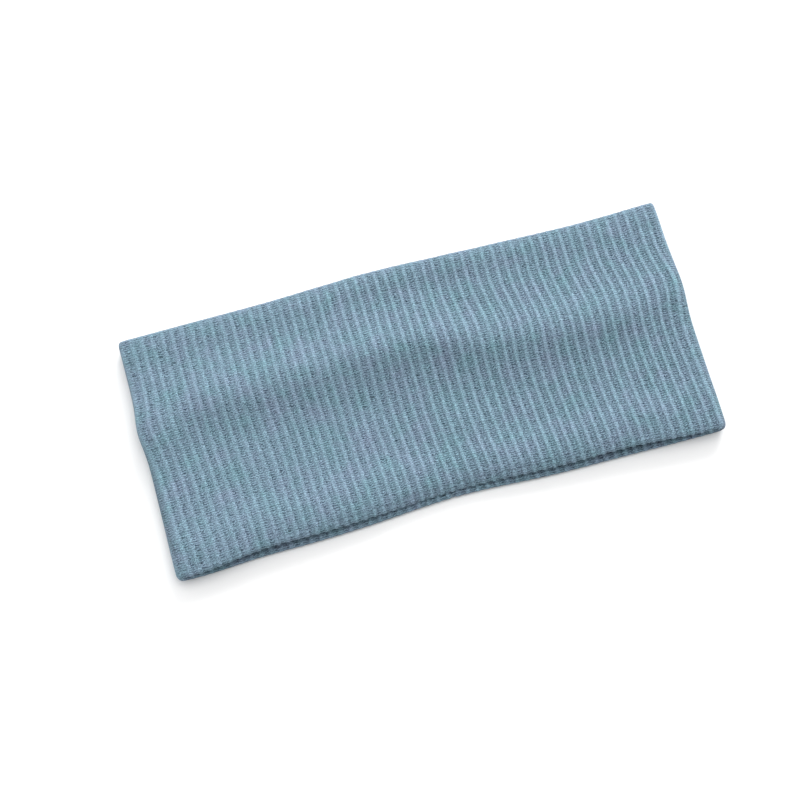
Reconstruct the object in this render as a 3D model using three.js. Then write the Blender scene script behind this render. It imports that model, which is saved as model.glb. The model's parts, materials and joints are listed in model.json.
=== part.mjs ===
// A wide ribbed-knit headband lying folded flat, as it is stored: a loop of double knit fabric whose lower
// run lies on the table and whose upper run lies on top of it, with a fold at each end.
//
// The fabric is one knit panel folded into a flat tube, so each run has an outer layer, which wraps both long
// edges, and an inner layer. The panel's own two edges are joined by the long seam, whose allowance lies
// between the layers all the way round the loop, with its free edge rounded by the thread that is wrapped
// round it. The tube's two ends are joined by the closing seam, in the middle of the lower run.
//
// The loop opens into a ring for the head. It bends at the two end folds and at eight lines across each run,
// so the fabric is divided there into segments of equal length. The closing seam divides the lower run's
// middle segment in two.
//
// X runs along the flat band, Y across it, and Z up. The origin is under the middle of the lower run.
import * as THREE from 'three';

// Driving dimensions, in millimetres.
const LENGTH = 235; // flat length, fold to fold: half of the loop's circumference
const WIDTH = 104; // across the band
const KNIT = 1; // thickness of one layer of rib knit
const CLEARANCE = 0.3; // left between solids that touch
const RUN_GAP = 1; // between the two runs, where the head goes
const SEGMENTS_PER_RUN = 9; // odd, so that the closing seam is in the middle of one
const ALLOWANCE = 0.9; // thickness of a seam allowance, pressed flat between the layers
const THREAD = 0.9; // diameter of the closing seam's bundle of thread
const LONG_SEAM_Y = 12; // the long seam's distance from the band's middle line
const LONG_SEAM_WIDTH = 10;
const CLOSING_SEAM_WIDTH = 6; // of the allowance on each side of the closing seam

// Steps in the round shapes.
const ARC_STEPS = 8;
const THREAD_STEPS = 12;

// Worked out from the above.
const RUN = 2 * KNIT + ALLOWANCE + 2 * CLEARANCE; // thickness of a run: two layers and what lies between
const HEIGHT = 2 * RUN + RUN_GAP;
const SEGMENT = LENGTH / SEGMENTS_PER_RUN;
const BENDS_PER_SIDE = (SEGMENTS_PER_RUN - 1) / 2; // on each side of the middle of a run
const EDGE_RADIUS = RUN / 2; // of the fold along each long edge
const END_RADIUS = (HEIGHT - CLEARANCE) / 2; // outer radius of each run's half of an end fold
const INNER_WIDTH = WIDTH - 4 * EDGE_RADIUS - 2 * CLEARANCE; // of the inner layer, between the edge folds
const HOLLOW_DEPTH = KNIT + CLEARANCE; // from a run's outer face to what lies between its layers
const INNER_LAYER_DEPTH = RUN - KNIT;
const CLOSING_SEAM_REACH = CLOSING_SEAM_WIDTH + THREAD + 2 * CLEARANCE; // from the seam to past its thread

const YARN_COLOUR = 0x7e96a6;
const THREAD_COLOUR = 0x8fa6b4;

// Cross-sections of a run, with x across the band and y inwards from the run's outer face.

// The outer layer, with the fold along each long edge standing up at its sides.
function outerLayerSection() {
  const rim = WIDTH / 2 - EDGE_RADIUS;
  const section = new THREE.Shape();
  section.moveTo(-rim, 0);
  section.lineTo(rim, 0);
  section.absarc(rim, EDGE_RADIUS, EDGE_RADIUS, -Math.PI / 2, Math.PI / 2, false);
  section.lineTo(rim - EDGE_RADIUS, RUN);
  section.lineTo(rim - EDGE_RADIUS, KNIT);
  section.lineTo(-rim + EDGE_RADIUS, KNIT);
  section.lineTo(-rim + EDGE_RADIUS, RUN);
  section.lineTo(-rim, RUN);
  section.absarc(-rim, EDGE_RADIUS, EDGE_RADIUS, Math.PI / 2, (3 * Math.PI) / 2, false);
  return section;
}

// A flat strip of fabric, centred at a place across the band.
function stripSection(centre, width, depth, thickness) {
  const left = centre - width / 2;
  const section = new THREE.Shape();
  section.moveTo(left, depth);
  section.lineTo(left + width, depth);
  section.lineTo(left + width, depth + thickness);
  section.lineTo(left, depth + thickness);
  section.closePath();
  return section;
}

// The long seam's allowance, with its thread wrapped round the free edge.
function longSeamSection() {
  const seamEdge = LONG_SEAM_Y - LONG_SEAM_WIDTH / 2;
  const freeEdge = LONG_SEAM_Y + LONG_SEAM_WIDTH / 2;
  const radius = ALLOWANCE / 2;
  const section = new THREE.Shape();
  section.moveTo(seamEdge, HOLLOW_DEPTH);
  section.lineTo(freeEdge - radius, HOLLOW_DEPTH);
  section.absarc(freeEdge - radius, HOLLOW_DEPTH + radius, radius, -Math.PI / 2, Math.PI / 2, false);
  section.lineTo(seamEdge, HOLLOW_DEPTH + ALLOWANCE);
  section.closePath();
  return section;
}

// Routes along a run's outer face: places with x and z, and the direction that points into the fabric.

function straightRoute(from, to) {
  return [from, to].map((x) => ({ x, z: 0, inX: 0, inZ: 1 }));
}

// Along the run to the end of the band, then round this run's half of the end fold.
function endRoute(from) {
  const route = straightRoute(from, from).slice(1);
  for (let i = 0; i <= ARC_STEPS; i += 1) {
    const turn = ((Math.PI / 2) * i) / ARC_STEPS;
    route.push({
      x: LENGTH / 2 - END_RADIUS + END_RADIUS * Math.sin(turn),
      z: END_RADIUS - END_RADIUS * Math.cos(turn),
      inX: -Math.sin(turn),
      inZ: Math.cos(turn),
    });
  }
  return route;
}

// Extrudes a section with one step between places on a route, then carries each step to its place.
function alongRoute(section, route, curveSegments) {
  const steps = route.length - 1;
  const geometry = new THREE.ExtrudeGeometry(section, {
    depth: steps,
    steps,
    bevelEnabled: false,
    curveSegments,
  });
  const position = geometry.getAttribute('position');
  for (let i = 0; i < position.count; i += 1) {
    const across = position.getX(i);
    const inwards = position.getY(i);
    const place = route[Math.round(position.getZ(i))];
    position.setXYZ(i, place.x + inwards * place.inX, across, place.z + inwards * place.inZ);
  }
  geometry.computeVertexNormals();
  return geometry;
}

// Adds a mesh made for the lower run's right half. side is -1 to carry it to the left half, and level is -1
// to turn it over to the upper run.
function addPiece(group, name, geometry, colour, { side, level }) {
  const mesh = new THREE.Mesh(
    geometry,
    new THREE.MeshStandardMaterial({ color: colour, roughness: 0.95, metalness: 0 }),
  );
  mesh.name = name;
  mesh.scale.set(side, 1, level);
  mesh.position.z = level > 0 ? 0 : HEIGHT;
  group.add(mesh);
}

// Distance of a bend from the middle of the run, counted outwards from 1.
function bendAt(count) {
  return (count - 0.5) * SEGMENT;
}

// The pieces of one segment between two distances from the middle of the band. The long seam may start later
// than the layers, to leave room for the closing seam.
function addSegment(group, name, place, { from, to, seamFrom = from, atEnd = false }) {
  const gap = CLEARANCE / 2;
  const route = (start) => (atEnd ? endRoute(start + gap) : straightRoute(start + gap, to - gap));
  const outer = alongRoute(outerLayerSection(), route(from), ARC_STEPS);
  const inner = alongRoute(stripSection(0, INNER_WIDTH, INNER_LAYER_DEPTH, KNIT), route(from), 1);
  const allowance = alongRoute(longSeamSection(), route(seamFrom), ARC_STEPS);
  addPiece(group, `outer_layer_${name}`, outer, YARN_COLOUR, place);
  addPiece(group, `inner_layer_${name}`, inner, YARN_COLOUR, place);
  addPiece(group, `long_seam_allowance_${name}`, allowance, YARN_COLOUR, place);
}

// The allowance on each side of the closing seam, and the thread along the left one's free edge.
function addClosingSeam(group) {
  const right = { side: 1, level: 1 };
  const left = { side: -1, level: 1 };
  for (const [name, place] of [['left', left], ['right', right]]) {
    const allowance = new THREE.BoxGeometry(CLOSING_SEAM_WIDTH, INNER_WIDTH, ALLOWANCE);
    const x = CLEARANCE / 2 + CLOSING_SEAM_WIDTH / 2;
    allowance.translate(x, 0, HOLLOW_DEPTH + ALLOWANCE / 2);
    addPiece(group, `closing_seam_allowance_${name}`, allowance, YARN_COLOUR, place);
  }
  const thread = new THREE.CylinderGeometry(THREAD / 2, THREAD / 2, INNER_WIDTH, THREAD_STEPS);
  const x = CLEARANCE / 2 + CLOSING_SEAM_WIDTH + CLEARANCE + THREAD / 2;
  thread.translate(x, 0, HOLLOW_DEPTH + THREAD / 2);
  addPiece(group, 'closing_seam_thread', thread, THREAD_COLOUR, left);
}

// One run's segments on one side of the middle one, out to the end fold.
function addSideSegments(group, name, place) {
  for (let i = 1; i < BENDS_PER_SIDE; i += 1) {
    addSegment(group, `${name}_${i}`, place, { from: bendAt(i), to: bendAt(i + 1) });
  }
  addSegment(group, `${name}_end`, place, { from: bendAt(BENDS_PER_SIDE), atEnd: true });
}

const headband = new THREE.Group();
for (const [end, side] of [['left', -1], ['right', 1]]) {
  const lower = { side, level: 1 };
  const halfSegment = { from: 0, to: bendAt(1), seamFrom: CLOSING_SEAM_REACH };
  addSegment(headband, `lower_centre_${end}`, lower, halfSegment);
  addSideSegments(headband, `lower_${end}`, lower);
  addSideSegments(headband, `upper_${end}`, { side, level: -1 });
}
addSegment(headband, 'upper_centre', { side: 1, level: -1 }, { from: -bendAt(1), to: bendAt(1) });
addClosingSeam(headband);

export default headband;
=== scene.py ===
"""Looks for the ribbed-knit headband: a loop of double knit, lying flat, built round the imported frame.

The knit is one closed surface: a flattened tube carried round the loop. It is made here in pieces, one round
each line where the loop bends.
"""
import json
import math
from functools import partial

import bpy
import numpy as np
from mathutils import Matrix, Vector

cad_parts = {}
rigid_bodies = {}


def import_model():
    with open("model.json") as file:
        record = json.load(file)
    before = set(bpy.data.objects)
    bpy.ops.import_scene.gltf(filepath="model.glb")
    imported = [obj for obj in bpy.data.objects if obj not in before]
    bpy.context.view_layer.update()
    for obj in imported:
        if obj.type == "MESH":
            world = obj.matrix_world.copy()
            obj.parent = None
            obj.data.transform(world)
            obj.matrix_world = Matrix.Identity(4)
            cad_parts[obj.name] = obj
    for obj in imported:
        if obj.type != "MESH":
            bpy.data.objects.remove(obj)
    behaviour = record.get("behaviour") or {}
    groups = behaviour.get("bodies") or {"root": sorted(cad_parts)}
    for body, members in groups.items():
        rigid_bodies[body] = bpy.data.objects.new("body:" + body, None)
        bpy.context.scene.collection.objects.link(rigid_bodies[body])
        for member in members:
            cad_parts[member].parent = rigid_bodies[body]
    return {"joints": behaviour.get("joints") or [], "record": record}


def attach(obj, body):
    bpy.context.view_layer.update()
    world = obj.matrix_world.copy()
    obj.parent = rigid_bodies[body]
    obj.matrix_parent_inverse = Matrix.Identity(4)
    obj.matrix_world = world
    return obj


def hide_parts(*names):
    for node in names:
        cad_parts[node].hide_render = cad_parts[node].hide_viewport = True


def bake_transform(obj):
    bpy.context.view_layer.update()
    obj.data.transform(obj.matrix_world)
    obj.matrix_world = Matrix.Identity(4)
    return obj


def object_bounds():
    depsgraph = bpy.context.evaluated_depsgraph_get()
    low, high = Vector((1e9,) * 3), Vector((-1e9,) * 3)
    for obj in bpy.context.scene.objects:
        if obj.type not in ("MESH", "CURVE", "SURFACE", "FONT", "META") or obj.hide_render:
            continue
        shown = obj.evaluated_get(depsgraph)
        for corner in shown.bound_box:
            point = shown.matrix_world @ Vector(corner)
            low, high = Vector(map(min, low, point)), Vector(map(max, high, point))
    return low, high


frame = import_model()
cad_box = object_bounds()

MM = 0.001

# ---------------------------------------------------------------- sizes, in metres
HALF_LENGTH, HALF_WIDTH, HEIGHT = cad_box[1]
hinge_lines = {round(joint["pos_m"][0], 6) for joint in frame["joints"]}
BENDS = sorted(x for x in hinge_lines if 0 < x < HALF_LENGTH - MM)
BENDS_PER_SIDE = len(BENDS)  # on each side of the middle of a run
SEGMENT = BENDS[1] - BENDS[0]
STRAIGHT = BENDS_PER_SIDE * SEGMENT  # from the middle to where the pieces round the end folds start

FOLD_PROUD = 2.9 * MM  # how far the knit's end fold stands out past the hinge line in it
EDGE_PROUD = 1.0 * MM  # how far its long edges stand out past the solids'
THICKNESS = 2.1 * MM  # of a run, between the middles of its rib relief
RIB_RELIEF = 0.6 * MM
RUN_SKIN = THICKNESS + RIB_RELIEF  # of a run, from rib crest to rib crest
EDGE_ROUND = 2.4 * MM  # how far the roundness of a long edge reaches across the band
GROOVE = 0.5 * MM  # depth of the groove along the closing seam
FOLD_CLOSE = 0.8 * MM  # how far each run's inner face comes up to the hinge line, beside an end fold
HALF_SPAN = HALF_WIDTH + EDGE_PROUD

FOLD_RADIUS = (HEIGHT - RUN_SKIN) / 2  # of the middle of the knit, round an end fold
FOLD_X = HALF_LENGTH + FOLD_PROUD - HEIGHT / 2  # where the end fold's arc starts
FOLD_ARC = math.pi * FOLD_RADIUS
LOW_Z = RUN_SKIN / 2  # the middle of the lower run's thickness

LOOP = 2 * (2 * FOLD_X + FOLD_ARC)
RIBS = 112  # round the loop
RIB_PITCH = LOOP / RIBS

# Steps in the knit's surface.
STEPS_PER_RIB = 16
STEP_ACROSS = 1.0 * MM
EDGE_STEPS = 12


# ---------------------------------------------------------------- shape functions
def smooth(t):
    """0 up to t = 0 and 1 from t = 1, easing between them."""
    t = np.clip(t, 0, 1)
    return t * t * (3 - 2 * t)


def ramp(place, start, end):
    """0 up to start and 1 from end, easing between them. The place is in metres; start and end are in mm."""
    return smooth((place / MM - start) / (end - start))


def hump(place, middle, width):
    """A soft hump of height 1. The place is in metres, and its middle and width are in mm."""
    t = (place / MM - middle) / width
    return np.exp(-t * t)


def waves(x, y, seed, longest):
    """Soft irregular undulation of about -1 to 1, with no wavelength longer than longest."""
    count = 7
    shortening, fading = 0.55, 0.4  # from each wave to the next
    usual_peak = 2.2
    draw = np.random.default_rng(seed)
    total = np.zeros(np.broadcast(x, y).shape)
    for k in range(count):
        angle = draw.uniform(0, 2 * math.pi)
        phase = draw.uniform(0, 2 * math.pi)
        along = x * math.cos(angle) + y * math.sin(angle)
        turns = along * (1 + shortening * k) / longest
        total += np.sin(2 * math.pi * turns + phase) / (1 + fading * k)
    return total / usual_peak


def loop_path(q):
    """The middle of the knit's thickness at distance q round the loop, from the closing seam towards +X:
    x, z and the outward direction there."""
    x, z = np.zeros_like(q), np.zeros_like(q)
    out_x, out_z = np.zeros_like(q), np.zeros_like(q)
    right = FOLD_X
    top = right + FOLD_ARC
    left = top + 2 * FOLD_X
    back = left + FOLD_ARC

    lower = (q <= right) | (q > back)
    x[lower] = np.where(q[lower] <= right, q[lower], q[lower] - back - FOLD_X)
    z[lower] = LOW_Z
    out_z[lower] = -1

    upper = (q > top) & (q <= left)
    x[upper] = FOLD_X - (q[upper] - top)
    z[upper] = LOW_Z + 2 * FOLD_RADIUS
    out_z[upper] = 1

    for start, end, side in ((right, top, 1), (left, back, -1)):
        arc = (q > start) & (q <= end)
        turn = (q[arc] - start) / FOLD_RADIUS
        down = side * np.cos(turn)
        x[arc] = side * (FOLD_X + FOLD_RADIUS * np.sin(turn))
        z[arc] = LOW_Z + FOLD_RADIUS * (1 - down)
        out_x[arc] = side * np.sin(turn)
        out_z[arc] = -down
    return x, z, out_x, out_z


def section(half_span, half_thickness):
    """Points round the flattened tube's section: place across, depth outwards, the outward direction, and the
    distance round from the middle of the outer face."""
    straight = half_span - EDGE_ROUND
    n = int(round(2 * straight / STEP_ACROSS))
    flat = np.linspace(-straight, straight, n, endpoint=False)
    turn = np.linspace(0, math.pi, EDGE_STEPS, endpoint=False)
    edge = straight + EDGE_ROUND * np.sin(turn)
    face, side = np.full(n, half_thickness), half_thickness * np.cos(turn)
    y = np.concatenate([flat, edge, -flat, -edge])
    d = np.concatenate([face, side, -face, -side])
    out_y = np.concatenate([np.zeros(n), np.sin(turn), np.zeros(n), -np.sin(turn)])
    out_d = np.concatenate([np.ones(n), np.cos(turn), -np.ones(n), -np.cos(turn)])
    step = np.hypot(np.diff(y, append=y[0]), np.diff(d, append=d[0]))
    around = np.concatenate([[0], np.cumsum(step)])
    return y, d, out_y, out_d, around - straight


def ridge_y(x):
    """Where the long seam's allowance lies across the upper run. It wanders to the near side on the right."""
    along_run = 17 - 9 * ramp(x, -5, 45)
    at_fold = 12.5
    return MM * (along_run + (at_fold - along_run) * ramp(np.abs(x), 92, 112))


def away_from_folds(x):
    """1 in the middle of the band, easing to 0 where the pieces round the end folds start."""
    return 1 - smooth(np.abs(x) / STRAIGHT)


def rib_profile(phase):
    """Height of the rib relief, -0.5 to 0.5, where phase counts ribs: narrow raised wales, wider channels."""
    wale_half, wale_slope = 0.2, 0.07
    channel_rise, channel_half = 0.16, 0.13
    across = np.abs(phase - np.floor(phase) - 0.5)
    raised = 0.5 + 0.5 * np.tanh((wale_half - across) / wale_slope)
    channel = channel_rise * np.exp(-(((0.5 - across) / channel_half) ** 2))
    return raised + channel - 0.5


def rib_lean(x, y):
    """How far the upper run's ribs are dragged towards +X. The band is skewed a little, most at the seam."""
    right = ramp(x, -5, 45)
    left = ramp(x, -20, -70)
    near_part = 2.0 * ramp(y, -10, -60)
    beside_seam = right * (2.3 * ramp(y, 36, 14) - 0.7 * ramp(y, 12, -4))
    past_seam = left * 2.1 * ramp(y, 16, -22)
    uneven = 0.5 * waves(x, y, seed=11, longest=150 * MM)
    return MM * (near_part + beside_seam + past_seam + uneven)


def run_lift(x, y):
    """Height of the upper run's undulation: up over the hidden seam, down onto the lower run beside it, and
    up again at the long edges, where the folded knit springs open."""
    past_ridge = y - ridge_y(x)
    kept_beyond = 0.25  # share of the ridge's height that the fabric keeps on the far side of it
    beyond = kept_beyond + (1 - kept_beyond) * hump(past_ridge, 0, 13)
    ridge = 3.4 * np.where(past_ridge > 0, beyond, hump(past_ridge, 0, 12))
    near_roll = 1.3 * hump(y + HALF_SPAN, 11, 9)
    far_roll = 0.6 * hump(y - HALF_SPAN, -6, 6)
    held = 1 - 0.35 * ramp(np.abs(x), 85, 110)
    valley = 1.9 * ramp(past_ridge, 4, -30)
    near_droop = 0.8 * ramp(y + HALF_SPAN, 5, 0)
    ripple = 0.4 * waves(x, y, seed=3, longest=60 * MM)
    sag = ripple - valley - near_droop
    return MM * ((ridge + near_roll + far_roll) * held + sag * away_from_folds(x))


def edge_shifts(x):
    """How far the band's far and near long edges lie from straight, and how far the upper run's near edge
    lies back from the lower run's. The band was laid down with a slight bend in it."""
    far = 1.5 * hump(x, -5, 34) - 1.1 * hump(x, 85, 28) - 0.4 * ramp(x, -40, 40) - 0.45
    near = 2.9 * hump(x, 3, 36) - 1.7 * hump(x, -112, 25) + 0.5 * hump(x, 68, 25) + 0.6 * ramp(x, -60, -90)
    back = 2.1 * ramp(HALF_LENGTH - np.abs(x), 0, 45)
    return far * MM, near * MM, back * MM


def moved_edges(x, y, is_upper):
    """Places across the band after its long edges have moved by their shifts."""
    far, near, back = edge_shifts(x)
    share = np.clip((y + HALF_SPAN) / (2 * HALF_SPAN), 0, 1)
    return y + (1 - share) * (near + back * is_upper) + share * (far - back * (1 - is_upper))


def surface_relief(x, y, phase, is_upper):
    """Height of the ribs over the middle of their relief, less the groove along the closing seam. The ribs
    are taller towards +X, and stretched flatter on the folds along the long edges."""
    firm = 0.85 + 0.2 * np.clip(x / HALF_LENGTH, -1, 1) + 0.15 * waves(x, y, seed=5, longest=90 * MM)
    at_edge = ramp(np.abs(y) - HALF_SPAN, -4, 0)
    flattened = np.where(y < 0, 0.8 - 0.4 * is_upper, 0.8) * at_edge
    groove = GROOVE * hump(x, 0, 0.9) * (1 - is_upper)
    return RIB_RELIEF * firm * (1 - flattened) * rib_profile(phase) - groove


def fold_shift(x, y):
    """How far an end fold lies out from straight: the near corners are rounder in plan than the far ones, the
    hidden seam kinks the fold, and the right one is pulled in beside it."""
    corner_reach = 3 * MM
    corner = np.clip((np.abs(y) - HALF_SPAN + corner_reach) / corner_reach, 0, 1)
    roundness = np.where(y < 0, 0.6, -0.35) * (1 - np.sqrt(1 - 0.98 * corner ** 2))
    kink = np.where(x < 0, 1.3, 0.5) * hump(y - ridge_y(x), 0, 9)
    pulled_in = np.where(x > 0, 0.8 * ramp(y, 20, -5), 0)
    return MM * (kink - roundness - pulled_in) * ramp(np.abs(x), 100, 114)


def knit_points(q):
    """The knit's surface at stations q round the loop: x, y and z, with the phase that counts ribs, and the
    distance round the section."""
    half_thickness = THICKNESS / 2
    y0, d, out_y, out_d, around = section(HALF_SPAN, half_thickness)
    x0, z0, nx, nz = (a[:, None] for a in loop_path(q))
    y0 = np.broadcast_to(y0, (len(q), len(y0)))
    is_upper = smooth((z0 - LOW_Z) / (2 * FOLD_RADIUS))
    phase = (q[:, None] + rib_lean(x0, y0) * is_upper) / RIB_PITCH
    relief = surface_relief(x0, y0, phase, is_upper)

    # A long edge is a little fuller than the middle, and the inner faces close up beside an end fold.
    fuller = 0.3 * MM * hump(np.abs(y0) - HALF_SPAN, -5, 4) * away_from_folds(x0)
    closing = FOLD_CLOSE * ramp(np.abs(x0) - STRAIGHT, 0, 10)
    depth = d * (1 + fuller / half_thickness) + np.minimum(d, 0) * closing / half_thickness

    out = depth + out_d * relief
    y = y0 + out_y * relief
    x = x0 + nx * out + np.sign(x0) * fold_shift(x0, y)
    z = z0 + nz * out + is_upper * run_lift(x0, y0)

    # The lower run lies on the table, so nothing is below it.
    return x, moved_edges(x0, y, is_upper), np.maximum(z, 0), phase, around


# ---------------------------------------------------------------- material helpers
UV_MAP = "knit"


def connect(tree, given, socket):
    """Links a socket, or sets the given number or colour, on a node's input."""
    if isinstance(given, bpy.types.NodeSocket):
        tree.links.new(given, socket)
    else:
        socket.default_value = (*given, 1) if isinstance(given, tuple) else given


def math_node(tree, operation, *inputs):
    made = tree.nodes.new("ShaderNodeMath")
    made.operation = operation
    for given, socket in zip(inputs, made.inputs):
        connect(tree, given, socket)
    return made.outputs[0]


def mix_colour(tree, factor, a, b):
    made = tree.nodes.new("ShaderNodeMix")
    made.data_type = "RGBA"
    connect(tree, factor, made.inputs["Factor"])
    colour_sockets = [socket for socket in made.inputs if socket.type == "RGBA"]
    for given, socket in zip((a, b), colour_sockets):
        connect(tree, given, socket)
    return next(socket for socket in made.outputs if socket.type == "RGBA")


def noise(tree, vector, scale, detail, roughness):
    made = tree.nodes.new("ShaderNodeTexNoise")
    made.inputs["Scale"].default_value = scale
    made.inputs["Detail"].default_value = detail
    made.inputs["Roughness"].default_value = roughness
    tree.links.new(vector, made.inputs["Vector"])
    return made.outputs["Fac"]


def remap(tree, value, low_in, high_in, low_out=0.0, high_out=1.0):
    made = tree.nodes.new("ShaderNodeMapRange")
    connect(tree, value, made.inputs["Value"])
    connect(tree, low_in, made.inputs["From Min"])
    connect(tree, high_in, made.inputs["From Max"])
    connect(tree, low_out, made.inputs["To Min"])
    connect(tree, high_out, made.inputs["To Max"])
    return made.outputs["Result"]


def between(tree, share, at_none, at_all):
    """at_none where the share is 0 and at_all where it is 1."""
    return remap(tree, share, 0.0, 1.0, at_none, at_all)


def departure(tree, value, middle, times):
    """How far a value is from its middle, multiplied."""
    return math_node(tree, "MULTIPLY", math_node(tree, "SUBTRACT", value, middle), times)


def smooth_between(tree, value, low_in, high_in):
    """0 at low_in and 1 at high_in, easing between them."""
    eased = remap(tree, value, low_in, high_in)
    eased.node.interpolation_type = "SMOOTHSTEP"
    return eased


def add_bump(tree, height, strength, distance):
    made = tree.nodes.new("ShaderNodeBump")
    made.inputs["Strength"].default_value = strength
    made.inputs["Distance"].default_value = distance
    tree.links.new(height, made.inputs["Height"])
    tree.links.new(made.outputs["Normal"], tree.nodes["Principled BSDF"].inputs["Normal"])


def set_finish(tree, **values):
    """Sets the shader's own sockets, with an underscore for each space in a socket's name."""
    for name, value in values.items():
        tree.nodes["Principled BSDF"].inputs[name.replace("_", " ")].default_value = value


def yarn_tree(name):
    """A new material with its node tree, the two numbers of its UV map, and the place on the surface."""
    made = bpy.data.materials.new(name)
    made.use_nodes = True
    tree = made.node_tree
    uv = tree.nodes.new("ShaderNodeUVMap")
    uv.uv_map = UV_MAP
    split = tree.nodes.new("ShaderNodeSeparateXYZ")
    tree.links.new(uv.outputs["UV"], split.inputs["Vector"])
    place = tree.nodes.new("ShaderNodeTexCoord").outputs["Object"]
    return made, tree, split.outputs["X"], split.outputs["Y"], place


def srgb(r, g, b):
    return tuple(((c / 255 + 0.055) / 1.055) ** 2.4 for c in (r, g, b))


# ---------------------------------------------------------------- the knit's material
# The yarn's two tints, and how the light and dark of the knit depart from them, with painted light and shade.
LAVENDER = srgb(159, 181, 205)
TEAL = srgb(142, 184, 197)
LAVENDER_DEEP = srgb(13, 27, 53)
TEAL_DEEP = srgb(8, 31, 45)
BRIGHTEST = 1.5  # lightness at which the yarn shows its full tint, and 0 is the deepest
KNIT_LIGHT = 0.93  # how light the yarn is before the painted light and shade of ribs and stitches
PAINTED_CREST_HIGHLIGHT = 0.3  # painted highlight added on a rib's crest
SHADOW_DARK = 0.15  # painted shadow taken off in the dark line beside it
FIBRE_CONTRAST = 0.75
HEATHER_CONTRAST = 0.3

# Places and widths across a rib, from its crest, as shares of the rib pitch. Where there are two, they are
# for narrow ribs and for ribs that are spread wide. Left and right are as seen on the upper run.
FUZZ_REACH = 0.6  # how far the fibres blur the rib
CREST_FLAT = 0.03  # half of where the crest's painted highlight is full
CREST_RIGHT = (-0.29, -0.36)  # where that painted highlight ends, on the right
CREST_LEFT = (0.3, 0.46)
SHADOW_AT = -0.37  # the middle of the painted shadow line
SHADOW_HALF = 0.13
WALE_HALF = 0.2  # half of the column of V shapes
WALE_BLUR = 0.04
SPREAD_FROM, SPREAD_TO = 20 * MM, -70 * MM  # x between which the ribs spread from narrow to wide
SPREAD_CONTRAST = (1.05, 0.8)  # of the crests' painted highlight and painted shadow line, in narrow ribs and in wide ones
FOLD_FADE = 0.6  # share of it lost on the fold along the far edge

# Rows of stitches.
COURSE = 1.04  # mm from one row to the next
VEE_RISE = 3.0  # rows that a V shape climbs in one rib pitch
PURL_RISE = 0.35  # rows that a purl loop climbs
PURL_HUMPS = 3.3  # in a row of purl loops, from one rib to the next
WOBBLE = 2.2  # rows that the stitches may be out of line
GAP_FROM, GAP_TO = -0.6, 0.7  # height in a row's wave at which its gap of painted shade starts, and is full


def stitch_gaps(tree, across, off_crest, v, place):
    """1 in the gaps between rows of stitches, where shade is painted on the yarn and the bump dips: a column
    of V shapes up each wale, and two columns of purl loops along each channel."""
    calc = partial(math_node, tree)
    on_wale = smooth_between(tree, off_crest, WALE_HALF + WALE_BLUR, WALE_HALF - WALE_BLUR)
    vee = calc("MULTIPLY", off_crest, VEE_RISE)
    purl_wave = calc("SINE", calc("MULTIPLY", across, PURL_HUMPS * math.pi))
    purl = calc("MULTIPLY", calc("ABSOLUTE", purl_wave), PURL_RISE)
    bend = calc("ADD", purl, calc("MULTIPLY", calc("SUBTRACT", vee, purl), on_wale))
    wobble = calc("MULTIPLY", noise(tree, place, scale=620.0, detail=3.0, roughness=0.65), WOBBLE)
    rows = calc("ADD", calc("ADD", calc("DIVIDE", v, COURSE), bend), wobble)
    wave = calc("SINE", calc("MULTIPLY", rows, 2 * math.pi))
    return smooth_between(tree, wave, GAP_FROM, GAP_TO)


def painted_rib_highlight_and_shade(tree, across, crest, spread, v):
    """Painted highlight and shade of the ribs: light painted on the crest and painted shadow in the dark line
    beside it, but less on the fold along the far edge, which stretches the ribs flat, and on the outer face
    close to the near edge."""
    calc = partial(math_node, tree)
    off_line = calc("ABSOLUTE", calc("SUBTRACT", across, SHADOW_AT))
    shadow_line = smooth_between(tree, off_line, SHADOW_HALF, 0.0)
    lit, shaded = calc("MULTIPLY", crest, PAINTED_CREST_HIGHLIGHT), calc("MULTIPLY", shadow_line, SHADOW_DARK)
    rib_light = calc("MULTIPLY", calc("SUBTRACT", lit, shaded), between(tree, spread, *SPREAD_CONTRAST))

    # In mm from the middle of the outer face. The face ends at face_end, and the fold is past it.
    from_middle = calc("ABSOLUTE", v)
    face_end = (HALF_SPAN - EDGE_ROUND) / MM
    onto_fold = smooth_between(tree, from_middle, face_end - 3.0, face_end + 1.5)
    off_fold = smooth_between(tree, from_middle, face_end + 5.0, face_end + 9.0)
    stretched = calc("MULTIPLY", calc("SUBTRACT", onto_fold, off_fold), FOLD_FADE)
    return calc("MULTIPLY", rib_light, calc("SUBTRACT", 1.0, stretched))


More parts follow.
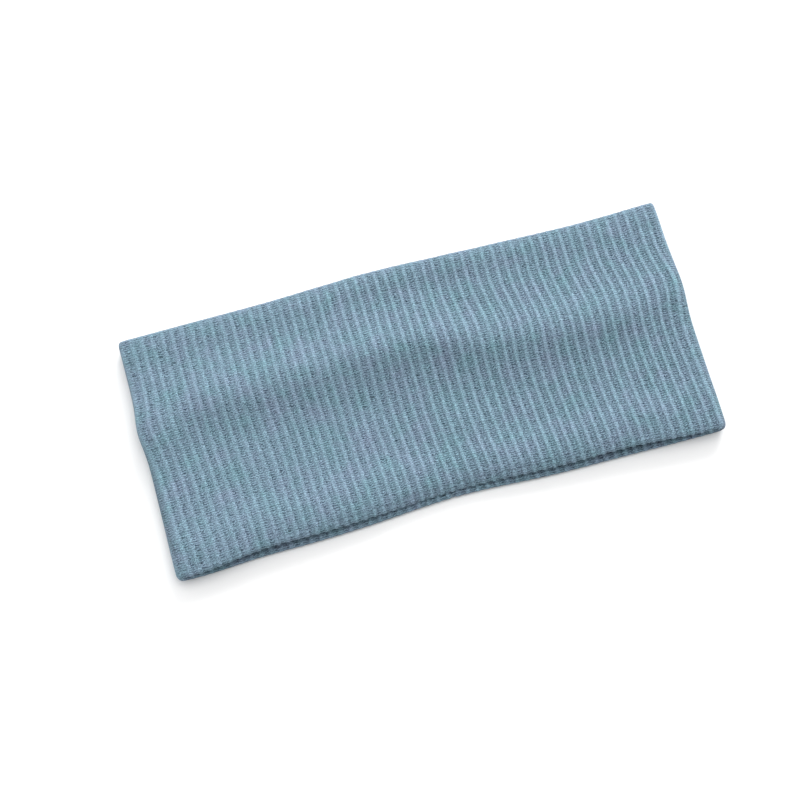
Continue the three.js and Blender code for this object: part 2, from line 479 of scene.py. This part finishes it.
def knit_material():
    """Heathered rib knit. Its UV map counts ribs in u, and holds mm round the band's section in v."""
    made, tree, u, v, place = yarn_tree("heathered_rib_knit")
    calc = partial(math_node, tree)
    split_place = tree.nodes.new("ShaderNodeSeparateXYZ")
    tree.links.new(place, split_place.inputs["Vector"])

    # Across a rib, from -0.5 to 0.5 with its crest at 0. The fibres' fuzz blurs it.
    fuzz = noise(tree, place, scale=1300.0, detail=3.0, roughness=0.7)
    shaken = calc("ADD", u, departure(tree, fuzz, 0.5, FUZZ_REACH))
    across = calc("SUBTRACT", calc("FRACT", shaken), 0.5)
    off_crest = calc("ABSOLUTE", across)
    spread = smooth_between(tree, split_place.outputs["X"], SPREAD_FROM, SPREAD_TO)
    crest_right = smooth_between(tree, across, between(tree, spread, *CREST_RIGHT), -CREST_FLAT)
    crest_left = smooth_between(tree, across, between(tree, spread, *CREST_LEFT), CREST_FLAT)
    crest = calc("MULTIPLY", crest_left, crest_right)
    gap = stitch_gaps(tree, across, off_crest, v, place)

    # The yarn's mottling, from the finest to the broadest.
    fibre = remap(tree, noise(tree, place, scale=1900.0, detail=3.0, roughness=0.8), 0.3, 0.7)
    heather = remap(tree, noise(tree, place, scale=420.0, detail=4.0, roughness=0.7), 0.3, 0.7)
    patches = remap(tree, noise(tree, place, scale=100.0, detail=4.0, roughness=0.6), 0.27, 0.73)
    tint = mix_colour(tree, patches, LAVENDER, TEAL)
    deep = mix_colour(tree, patches, LAVENDER_DEEP, TEAL_DEEP)

    # Shade is painted into the gaps between stitches, deepest where the yarn is lightest, and a little less
    # so on a crest.
    painted_gap_shade_depth = calc("MULTIPLY", between(tree, heather, 0.2, 0.9), between(tree, crest, 1.0, 0.9))
    painted_gap_shade = calc("MULTIPLY", gap, painted_gap_shade_depth)
    # The ribs' painted crest highlight and painted shadow line.
    ribbed = painted_rib_highlight_and_shade(tree, across, crest, spread, v)
    light = calc("SUBTRACT", calc("ADD", ribbed, KNIT_LIGHT), painted_gap_shade)
    light = calc("ADD", light, departure(tree, fibre, 0.4, FIBRE_CONTRAST))
    light = calc("ADD", light, departure(tree, heather, 0.5, HEATHER_CONTRAST))
    colour = mix_colour(tree, calc("DIVIDE", light, BRIGHTEST), deep, tint)
    tree.links.new(colour, tree.nodes["Principled BSDF"].inputs["Base Color"])

    loops = calc("SUBTRACT", 1.0, calc("MULTIPLY", gap, between(tree, crest, 1.0, 0.5)))
    height = calc("ADD", loops, calc("MULTIPLY", fibre, 0.3))
    add_bump(tree, height, strength=0.9, distance=0.3 * MM)
    set_finish(tree, Roughness=0.95, Specular_IOR_Level=0.2, Sheen_Weight=0.15, Sheen_Roughness=0.5)
    set_finish(tree, Sheen_Tint=(0.75, 0.85, 0.95, 1))
    return made


# ---------------------------------------------------------------- the thread's material
# The thread runs from THREAD_DARK, painted shade in the grooves between its plies, to THREAD_LIGHT.
THREAD_DARK = srgb(70, 92, 108)
THREAD_LIGHT = srgb(152, 176, 190)
TWISTS_PER_MM = 1.6
PLIES = 2


def thread_material():
    """Spun sewing thread. Its UV map holds mm along the thread in u, and turns round it in v."""
    made, tree, along, turns, place = yarn_tree("spun_seam_thread")
    calc = partial(math_node, tree)
    twist = calc("ADD", calc("MULTIPLY", along, TWISTS_PER_MM), calc("MULTIPLY", turns, PLIES))
    plies = calc("SINE", calc("MULTIPLY", twist, 2 * math.pi))
    speckle = noise(tree, place, scale=2600.0, detail=2.0, roughness=0.7)
    # Painted shade in the grooves between the plies, where the bump dips, with a speckle of the thread's own
    # uneven tone.
    shade = calc("ADD", remap(tree, plies, -1.0, 1.0, 0.1, 0.75), speckle)
    colour = mix_colour(tree, calc("MULTIPLY", shade, 0.7), THREAD_DARK, THREAD_LIGHT)
    tree.links.new(colour, tree.nodes["Principled BSDF"].inputs["Base Color"])
    add_bump(tree, plies, strength=0.7, distance=0.06 * MM)
    set_finish(tree, Roughness=0.7, Sheen_Weight=0.1)
    return made


# ---------------------------------------------------------------- the knit, in pieces
def tube_mesh(name, points, u_grid, v_row, material):
    """A mesh of a grid of points that closes on itself across the section. Its UV map holds u_grid, given for
    each point, and v_row, given for each place across the section with the first place's again at the end."""
    rows, cols = points.shape[:2]
    mesh = bpy.data.meshes.new(name)
    i, j = np.meshgrid(np.arange(rows - 1), np.arange(cols), indexing="ij")
    k = (j + 1) % cols
    corners = [i * cols + j, (i + 1) * cols + j, (i + 1) * cols + k, i * cols + k]
    quads = np.stack(corners, axis=-1).reshape(-1, len(corners))
    mesh.vertices.add(rows * cols)
    mesh.vertices.foreach_set("co", points.astype(np.float32).ravel())
    mesh.loops.add(quads.size)
    mesh.loops.foreach_set("vertex_index", quads.astype(np.int32).ravel())
    mesh.polygons.add(len(quads))
    mesh.polygons.foreach_set("loop_start", (len(corners) * np.arange(len(quads))).astype(np.int32))
    mesh.polygons.foreach_set("use_smooth", np.ones(len(quads), bool))
    mesh.update(calc_edges=True)

    layer = mesh.uv_layers.new(name=UV_MAP)
    corner_i = np.stack([i, i + 1, i + 1, i], axis=-1).reshape(-1)
    corner_j = np.stack([j, j, k, k], axis=-1).reshape(-1)
    corner_turn = np.stack([j, j, j + 1, j + 1], axis=-1).reshape(-1)
    uv = np.stack([u_grid[corner_i, corner_j], v_row[corner_turn]], axis=-1)
    layer.data.foreach_set("uv", uv.astype(np.float32).ravel())
    mesh.materials.append(material)
    made = bpy.data.objects.new(name, mesh)
    bpy.context.scene.collection.objects.link(made)
    return made


def build_knit(material):
    """The pieces in order round the loop from the closing seam. The frame's joints go the other way round."""
    bodies = frame["record"]["behaviour"]["bodies"]
    round_fold = 2 * (FOLD_X - STRAIGHT) + FOLD_ARC
    to_fold = [SEGMENT] * BENDS_PER_SIDE
    lengths = 2 * (to_fold + [round_fold] + to_fold)
    starts = np.cumsum([0.0] + lengths)
    for joint, start, length in zip(reversed(frame["joints"]), starts, lengths):
        steps = int(round(length / RIB_PITCH * STEPS_PER_RIB))
        x, y, z, phase, around = knit_points(np.linspace(start, start + length, steps + 1))
        points = np.stack([x, y, z], axis=-1)
        piece = tube_mesh("knit_" + joint["name"], points, phase, around / MM, material)

        # The chain runs from the left of the closing seam round to its right, so child is before parent here.
        first, second = joint["child"], joint["parent"]
        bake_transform(piece)
        for body in (first, second):
            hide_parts(*[n for n in bodies[body] if n != "closing_seam_thread"])


# ---------------------------------------------------------------- the closing seam's stitches
STITCH = 2.6 * MM  # from one crossing of the seam to the next but one
STITCH_REACH = 0.9 * MM  # how far a stitch reaches on each side of the seam
THREAD_RADIUS = 0.2 * MM
THREAD_SUNK = 0.3 * MM  # how far the thread's middle lies below the middle of the rib relief
THREAD_SIDES = 8
STEPS_PER_CROSSING = 5


def build_closing_seam_thread(material):
    """One thread that zigzags across the closing seam, all the way round the flattened tube, in a groove."""
    y, d, out_y, out_d, around = section(HALF_SPAN - THREAD_SUNK, THICKNESS / 2 - THREAD_SUNK)
    around = around - around[0]
    crossings = 2 * round(around[-1] / STITCH)
    s = np.linspace(0, around[-1], STEPS_PER_CROSSING * crossings + 1)
    y, d, out_y, out_d = (np.interp(s, around, np.append(a, a[0])) for a in (y, d, out_y, out_d))
    x = STITCH_REACH * np.sin(math.pi * crossings * s / around[-1])
    on_lower_run = 0.0
    y = moved_edges(np.zeros_like(y), y, on_lower_run)
    middle = np.stack([x, y, LOW_Z - d], axis=-1)
    outward = np.stack([np.zeros_like(y), out_y, -out_d], axis=-1)
    sideways = np.cross(np.gradient(middle, axis=0), outward)
    sideways /= np.linalg.norm(sideways, axis=1, keepdims=True)
    turn = np.linspace(0, 2 * math.pi, THREAD_SIDES, endpoint=False)[None, :, None]
    ring = np.cos(turn) * outward[:, None] + np.sin(turn) * sideways[:, None]
    points = middle[:, None] + THREAD_RADIUS * ring
    along = np.repeat(s[:, None] / MM, THREAD_SIDES, axis=1)
    turns = np.linspace(0, 1, THREAD_SIDES + 1)
    thread = tube_mesh("closing_seam_thread_stitches", points, along, turns, material)
    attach(thread, "lower_centre_left")
    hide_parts("closing_seam_thread")


# ---------------------------------------------------------------- floor, light and camera
FLOOR_HALF = 3.0
FLOOR_DROP = 0.1 * MM  # how far the floor is below the band's underside
FLOOR_WHITE = 0.93
ROOM_LIGHT = 0.78  # mean strength of the light from all round
ROOM_SLOPE = 0.75  # how much stronger it is from the far side, and weaker from the near side


def add_floor():
    corners = [(FLOOR_HALF * x, FLOOR_HALF * y, 0) for x, y in ((-1, -1), (1, -1), (1, 1), (-1, 1))]
    mesh = bpy.data.meshes.new("floor")
    mesh.from_pydata(corners, [], [range(len(corners))])
    floor = bpy.data.objects.new("floor", mesh)
    bpy.context.scene.collection.objects.link(floor)
    floor.location.z = -FLOOR_DROP
    paint = bpy.data.materials.new("floor_white")
    paint.use_nodes = True
    set_finish(paint.node_tree, Base_Color=(FLOOR_WHITE, FLOOR_WHITE, FLOOR_WHITE, 1), Roughness=0.9)
    mesh.materials.append(paint)


def add_room():
    """A plain pale room, lighter on the far side of the band than on the near side."""
    world = bpy.data.worlds.new("studio")
    world.use_nodes = True
    tree = world.node_tree
    background = tree.nodes["Background"]
    split = tree.nodes.new("ShaderNodeSeparateXYZ")
    tree.links.new(tree.nodes.new("ShaderNodeTexCoord").outputs["Generated"], split.inputs["Vector"])
    near, far = ROOM_LIGHT * (1 - ROOM_SLOPE), ROOM_LIGHT * (1 + ROOM_SLOPE)
    tree.links.new(remap(tree, split.outputs["Y"], -1.0, 1.0, near, far), background.inputs["Strength"])
    background.inputs["Color"].default_value = (1, 1, 1, 1)
    bpy.context.scene.world = world


def add_lamp(name, place, size, power):
    """A square lamp that shines at the origin."""
    light = bpy.data.lights.new(name, "AREA")
    light.energy = power
    light.size = size
    lamp = bpy.data.objects.new(name, light)
    bpy.context.scene.collection.objects.link(lamp)
    lamp.location = place
    lamp.rotation_euler = (-Vector(place)).to_track_quat("-Z", "Y").to_euler()


def add_camera():
    azimuth, elevation = math.radians(-15.7), math.radians(74.2)
    distance = 0.85
    target = Vector((-0.0104, -0.0037, HEIGHT / 2))
    level = math.cos(elevation)
    back = Vector((math.sin(azimuth) * level, -math.cos(azimuth) * level, math.sin(elevation)))
    data = bpy.data.cameras.new("camera")
    data.lens = 90
    data.sensor_width = 36
    data.clip_start = 0.01
    camera = bpy.data.objects.new("camera", data)
    bpy.context.scene.collection.objects.link(camera)
    camera.location = target + distance * back
    camera.rotation_euler = back.to_track_quat("Z", "Y").to_euler()
    bpy.context.scene.camera = camera


build_knit(knit_material())
build_closing_seam_thread(thread_material())
add_floor()
add_room()
add_lamp("key_from_far_side", (0.7, 1.4, 0.62), size=1.0, power=28)
add_lamp("fill_overhead", (0.1, 0.2, 1.6), size=1.4, power=11)
bpy.context.scene.view_settings.view_transform = "Standard"
add_camera()
